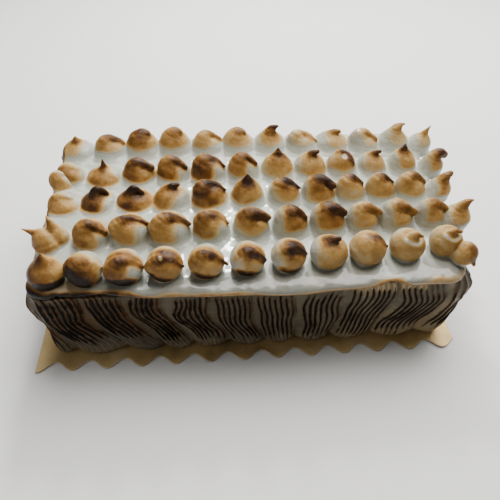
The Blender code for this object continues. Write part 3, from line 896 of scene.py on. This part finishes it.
def make_sides(finish):
    """The piped wall: ribbons of fine ridges that sweep sideways down to their feet."""
    ribbons = ribbon_plan()
    place, ridge, lane, number = ridge_layout(ribbons)
    wall = SimpleNamespace(ridge=ridge, lane=lane, arch=np.sin(math.pi * place) ** 0.7)
    for key in ribbons[0]:
        setattr(wall, key, np.array([ribbon[key] for ribbon in ribbons])[number])
    wall.along = wall.start + wall.width * place
    edge = ribbons[0]["start"] - ribbons[-1]["start"] - ribbons[-1]["width"]
    middles = np.array([ribbon["start"] + ribbon["width"] / 2 for ribbon in ribbons])
    leans = np.array([ribbon["lean"] for ribbon in ribbons])
    around = np.concatenate((middles[-1:] + edge, middles, middles[:1] - edge))
    wall.lean = np.interp(wall.along, around, np.concatenate((leans[-1:], leans, leans[:1])))
    levels = [wall_level(level, wall) for level in np.linspace(0, 1, WALL_ROWS)]
    return stacked_rings("piped_sides", [points for points, _ in levels],
                         {"toast": np.concatenate([toast for _, toast in levels])}, finish)


def wall_level(level, wall):
    """One level of the wall, from its foot, 0, to its top, 1: points and toast."""
    down = 1 - level
    high = np.full(len(wall.along), level)
    sheet = np.stack((wall.start + 0.0045 * wall.lane, high * wall_height, wall.seed * 0.37), 1)
    wobble = 0.0013 * noise(sheet, 0.015, SEED + 60)
    sway = 0.0015 * np.sin(2 * math.pi * (level * 1.5 + wall.seed * 0.29))
    shift = wall.lean * (0.12 * down + 0.88 * smooth(0.30, 1.0, down)) + wobble + sway
    spots, normal = wall_spots(wall.along + shift)
    outline = np.stack((wall.along, high * wall_height, wall.along * 0), 1)
    bumps = noise(outline, 0.010, SEED + 61)
    xy = spots + normal * wall_relief(level, wall, normal, bumps)[:, None]
    reach = np.clip(spots[:, 0] / (BODY_LENGTH / 2), 0, 1.05) ** 2
    x = xy[:, 0] + reach * RIGHT_END_BULGE * 4 * level * (1 - level) + BODY_CENTRE_X
    z = wall_foot + level * wall_height + 0.0024 * (1 - wall.arch) * smooth(0.06, 0.0, level)
    return np.stack((x, xy[:, 1], z), 1), wall_toast(high, wall, sheet, bumps, spots, x)


def wall_relief(level, wall, normal, bumps):
    """How far the wall stands out from its outline at one level."""
    side = np.interp(level, WALL_LEVELS, WALL_SIDE)
    end = np.interp(level, WALL_LEVELS, WALL_END)
    out = side * normal[:, 1] ** 2 + end * normal[:, 0] ** 2
    strength = (1 - 0.75 * smooth(0.20, 0.0, level)) * (1 - 0.5 * smooth(0.88, 1.0, level))
    crest = wall.ridge ** 1.35 * RIDGE_DEPTH * strength * (0.85 + 0.3 * bumps)
    lobe = (0.0016 + 0.0034 * smooth(0.42, 0.02, level)) * (wall.arch - 0.75)
    tuck = 0.0030 * smooth(0.05, 0.0, level) * (1 - wall.arch * 0.6)
    return out + crest - RIDGE_DEPTH * 0.6 + lobe + 0.0004 * bumps - tuck


def wall_toast(high, wall, sheet, bumps, spots, x):
    """How brown the wall is at one level: charred ridges on a brown haze, which the side stops
    also turn into painted shade.
    """
    front = spots[:, 1] < 0
    thick = smooth(0.62, 0.80, wall.line)
    start = wall.top + 0.05 * noise(sheet, 0.005, SEED + 62)
    stop = 0.13 + 0.10 * noise(sheet, 0.005, SEED + 63) + 0.13 * thick
    window = smooth(stop - 0.06, stop + 0.16, high) * smooth(start + 0.05, start - 0.08, high)
    width = wall.line * (0.9 + 0.25 * noise(sheet, 0.004, SEED + 65)) * np.sqrt(window)
    line = smooth(1.02 - width - 0.10, 1.02 - width + 0.12, wall.ridge)
    line = line * smooth(0.0, 0.15, window)
    rusty = np.where(wall.lane == wall.ridges - 1, 0.72, 1.0)
    toast = line * wall.char * rusty * (0.94 + 0.12 * bumps)
    # The haze is the wall's toast, and through the side stops it is painted shade as well
    haze = 0.15 + 0.05 * noise(sheet, 0.03, SEED + 64) + 0.14 * thick * window
    haze = haze * (1 - 0.45 * smooth(0.42, 0.02, high))
    haze = haze - 0.05 * smooth(0.050, 0.090, spots[:, 0]) * front
    cream = smooth(0.060, 0.100, x) * smooth(start - 0.10, start + 0.02, high)
    haze = haze * (1 - np.clip(cream * (0.3 + wall.ridge), 0, 1))
    rust = smooth(0.134, 0.144, x) * smooth(0.72, 0.86, high) * front
    toast = toast * (1 - 0.8 * rust)
    haze = haze + 0.26 * rust * smooth(0.1, 0.7, wall.ridge)
    return np.clip(np.maximum(toast, haze), 0, 1)


# ---- card


def make_card(finish):
    """Cake card with long edges in a smooth wave, and slightly rounded all round."""
    half = CARD_LENGTH / 2
    middle = CARD_DEPTH / 2 - WAVE_DEPTH / 2
    x = np.linspace(-half, half, round(CARD_LENGTH / CARD_STEP))
    front = -middle - WAVE_DEPTH / 2 * np.cos(2 * np.pi * (x - WAVE_CREST_X) / WAVE_PITCH)
    ends = np.linspace(-1, 1, 60)[1:-1]
    outline = np.concatenate((
        np.stack((x, front), 1), np.stack((ends * 0 + half, ends * -front[-1]), 1),
        np.stack((x[::-1], -front[::-1]), 1), np.stack((ends * 0 - half, ends * front[0]), 1)))
    step = np.roll(outline, -1, 0) - np.roll(outline, 1, 0)
    normal = np.stack((step[:, 1], -step[:, 0]), 1) / np.linalg.norm(step, axis=1)[:, None]
    rings, foil = [], []
    for inset, z, shine in CARD_RINGS:
        spots = outline - normal * inset
        rings.append(np.column_stack((spots, np.full(len(spots), z))))
        foil.append(np.full(len(spots), shine))
    return stacked_rings("gold_card", rings, {"foil": np.concatenate(foil)}, finish)


# ---- materials


class Finish:
    """A node material with a Principled shader, built up call by call."""

    def __init__(self, name, **settings):
        self.material = bpy.data.materials.new(name)
        self.material.use_nodes = True
        self.tree = self.material.node_tree
        self.shader = self.tree.nodes["Principled BSDF"]
        for label, value in settings.items():
            self.shader.inputs[label.replace("_", " ")].default_value = value
        self.place = self.tree.nodes.new("ShaderNodeTexCoord").outputs["Object"]

    def node(self, kind, inputs=(), **settings):
        """A node with its settings and its inputs, each a value or another node's output."""
        made = self.tree.nodes.new(kind)
        for label, value in settings.items():
            setattr(made, label, value)
        for label, value in dict(inputs).items():
            if isinstance(value, bpy.types.NodeSocket):
                self.tree.links.new(value, made.inputs[label])
            else:
                made.inputs[label].default_value = value
        return made

    def attribute(self, name):
        """A number kept on the mesh's points."""
        return self.node("ShaderNodeAttribute", attribute_name=name).outputs["Fac"]

    def noise(self, scale, detail=2.0, roughness=0.5):
        """Noise between 0 and 1; scale is bumps per metre."""
        inputs = {"Vector": self.place, "Scale": scale, "Detail": detail, "Roughness": roughness}
        return self.node("ShaderNodeTexNoise", inputs).outputs["Fac"]

    def math(self, operation, a, b=0.0):
        """Sum, product or other step on two numbers."""
        return self.node("ShaderNodeMath", {0: a, 1: b}, operation=operation).outputs[0]

    def between(self, value, low, high, start=0.0, end=1.0):
        """Value taken from one range to another, held at its ends."""
        inputs = {"Value": value, "From Min": low, "From Max": high, "To Min": start,
                  "To Max": end}
        return self.node("ShaderNodeMapRange", inputs).outputs[0]

    def ramp(self, value, stops):
        """Colour for a number, from stops of position and linear colour."""
        made = self.node("ShaderNodeValToRGB", {"Fac": value})
        elements = made.color_ramp.elements
        while len(elements) < len(stops):
            elements.new(0.5)
        for element, (position, colour) in zip(elements, stops):
            element.position = position
            element.color = (*colour, 1)
        return made.outputs["Color"]

    def mix(self, share, a, b):
        """Two colours mixed."""
        made = self.node("ShaderNodeMix", data_type="RGBA")
        for index, value in ((0, share), (6, a), (7, b)):
            if isinstance(value, bpy.types.NodeSocket):
                self.tree.links.new(value, made.inputs[index])
            else:
                made.inputs[index].default_value = value if index == 0 else (*value, 1)
        return made.outputs[2]

    def set(self, **links):
        """Feed the shader's inputs."""
        for label, value in links.items():
            self.tree.links.new(value, self.shader.inputs[label.replace("_", " ")])

    def bump(self, *heights):
        """Relief from pairs of a height and its depth in metres."""
        normal = None
        for height, depth in heights:
            inputs = {"Height": height, "Distance": depth, "Strength": 1.0}
            if normal:
                inputs["Normal"] = normal
            normal = self.node("ShaderNodeBump", inputs).outputs[0]
        self.tree.links.new(normal, self.shader.inputs["Normal"])


def toasted_finish(name, stops, wet, gloss, shine, relief):
    """Torched meringue: colour by toast, wet where it is bare, finely pitted."""
    finish = Finish(name, IOR=1.40, Coat_Roughness=0.08, Specular_IOR_Level=shine,
                    Subsurface_Weight=0.10, Subsurface_Radius=(1.0, 0.62, 0.35),
                    Subsurface_Scale=0.0012)
    toast = finish.attribute("toast")
    finish.set(Coat_Weight=finish.between(toast, 0.04, 0.20, wet, gloss))
    uneven = [finish.math("MULTIPLY", finish.math("SUBTRACT", height, 0.5), amount)
              for height, amount in ((finish.noise(190, 3.0, 0.6), 0.26),
                                     (finish.noise(1100, 2.0, 0.6), 0.16))]
    share = finish.math("ADD", *uneven)
    browned = finish.between(toast, 0.02, 0.22)
    toast = finish.math("ADD", toast, finish.math("MULTIPLY", share, browned))
    finish.set(Base_Color=finish.ramp(toast, stops))
    finish.set(Roughness=finish.between(finish.noise(85, 2.0, 0.5), 0.38, 0.66, 0.36, 0.62))
    finish.bump((finish.noise(420, 3.0, 0.55), relief),
                (finish.noise(1900, 2.0, 0.5), relief * 0.3))
    return finish.material


def card_finish():
    """Gold foil on pulp board, dulled by grease, with the board showing at the cut edge."""
    finish = Finish("gold_card_foil", IOR=1.5)
    foil = finish.attribute("foil")
    grease = finish.noise(24, 4.0, 0.6)
    fine = finish.noise(600, 2.0, 0.6)
    gold = finish.ramp(finish.math("ADD", grease, finish.math("MULTIPLY", fine, 0.12)),
                       GOLD_STOPS)
    finish.set(Base_Color=finish.mix(foil, BOARD_COLOUR, gold))
    finish.set(Metallic=finish.math("MULTIPLY", foil, 0.45))
    finish.set(Roughness=finish.between(grease, 0.35, 0.7, 0.42, 0.62))
    finish.bump((finish.noise(55, 3.0, 0.5), 0.0006), (finish.noise(900, 2.0, 0.6), 0.00008))
    return finish.material


# ---- stage


def area_light(name, place, target, size, power, colour):
    """Square soft light at a place, facing a target."""
    lamp = bpy.data.lights.new(name, "AREA")
    lamp.size = size
    lamp.energy = power
    lamp.color = colour
    made = bpy.data.objects.new(name, lamp)
    made.location = place
    made.rotation_euler = (Vector(target) - Vector(place)).to_track_quat("-Z", "Y").to_euler()
    bpy.context.scene.collection.objects.link(made)


def make_floor():
    """Pale floor, just under the card."""
    finish = Finish("floor_pale", Base_Color=(*FLOOR_COLOUR, 1), Roughness=0.8)
    corners = [(x * FLOOR_REACH, y * FLOOR_REACH, -FLOOR_DROP)
               for x, y in ((-1, -1), (1, -1), (1, 1), (-1, 1))]
    mesh = bpy.data.meshes.new("floor")
    mesh.from_pydata(corners, [], [(0, 1, 2, 3)])
    mesh.materials.append(finish.material)
    floor = bpy.data.objects.new("floor", mesh)
    bpy.context.scene.collection.objects.link(floor)
    return floor


def make_world():
    """Weak white light from all sides."""
    world = bpy.data.worlds.new("studio")
    world.use_nodes = True
    world.node_tree.nodes["Background"].inputs["Color"].default_value = (1, 1, 1, 1)
    world.node_tree.nodes["Background"].inputs["Strength"].default_value = WORLD_STRENGTH
    bpy.context.scene.world = world


def make_camera():
    """The camera, where the photo was taken from."""
    eye = bpy.data.cameras.new("camera")
    eye.lens = CAMERA_LENS
    eye.sensor_width = 36.0
    camera = bpy.data.objects.new("camera", eye)
    camera.location = CAMERA_PLACE
    camera.rotation_euler = [math.radians(angle) for angle in CAMERA_ANGLES]
    bpy.context.scene.collection.objects.link(camera)
    bpy.context.scene.camera = camera


slab_low, slab_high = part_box("meringue_slab")
slab_top = slab_high.z
wall_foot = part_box("cake_body")[0].z
wall_height = slab_low.z + WALL_OVERLAP - wall_foot

card = make_card(card_finish())
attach(card, "root")
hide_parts("cake_card")

sides = make_sides(toasted_finish("side_meringue_torched_painted_shade", SIDE_STOPS_WITH_PAINTED_SHADE, wet=0.10, gloss=0.03,
                                  shine=0.10, relief=0.0006))
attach(sides, "root")
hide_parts("cake_body")

slab = make_slab(toasted_finish("top_meringue_glossy", SLAB_STOPS, wet=0.75, gloss=0.50,
                                shine=0.50, relief=0.00025))
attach(slab, "root")
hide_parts("meringue_slab")

kiss_finish = toasted_finish("kiss_meringue_torched", KISS_STOPS, wet=0.50, gloss=0.05,
                             shine=0.28, relief=0.0007)
for row in range(len(ROW_TIPS)):
    kisses = make_row(row, kiss_finish)
    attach(kisses, "root")
    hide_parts(f"kiss_row_{row + 1}")

make_floor()
for light in LIGHTS:
    area_light(*light)
make_world()
make_camera()
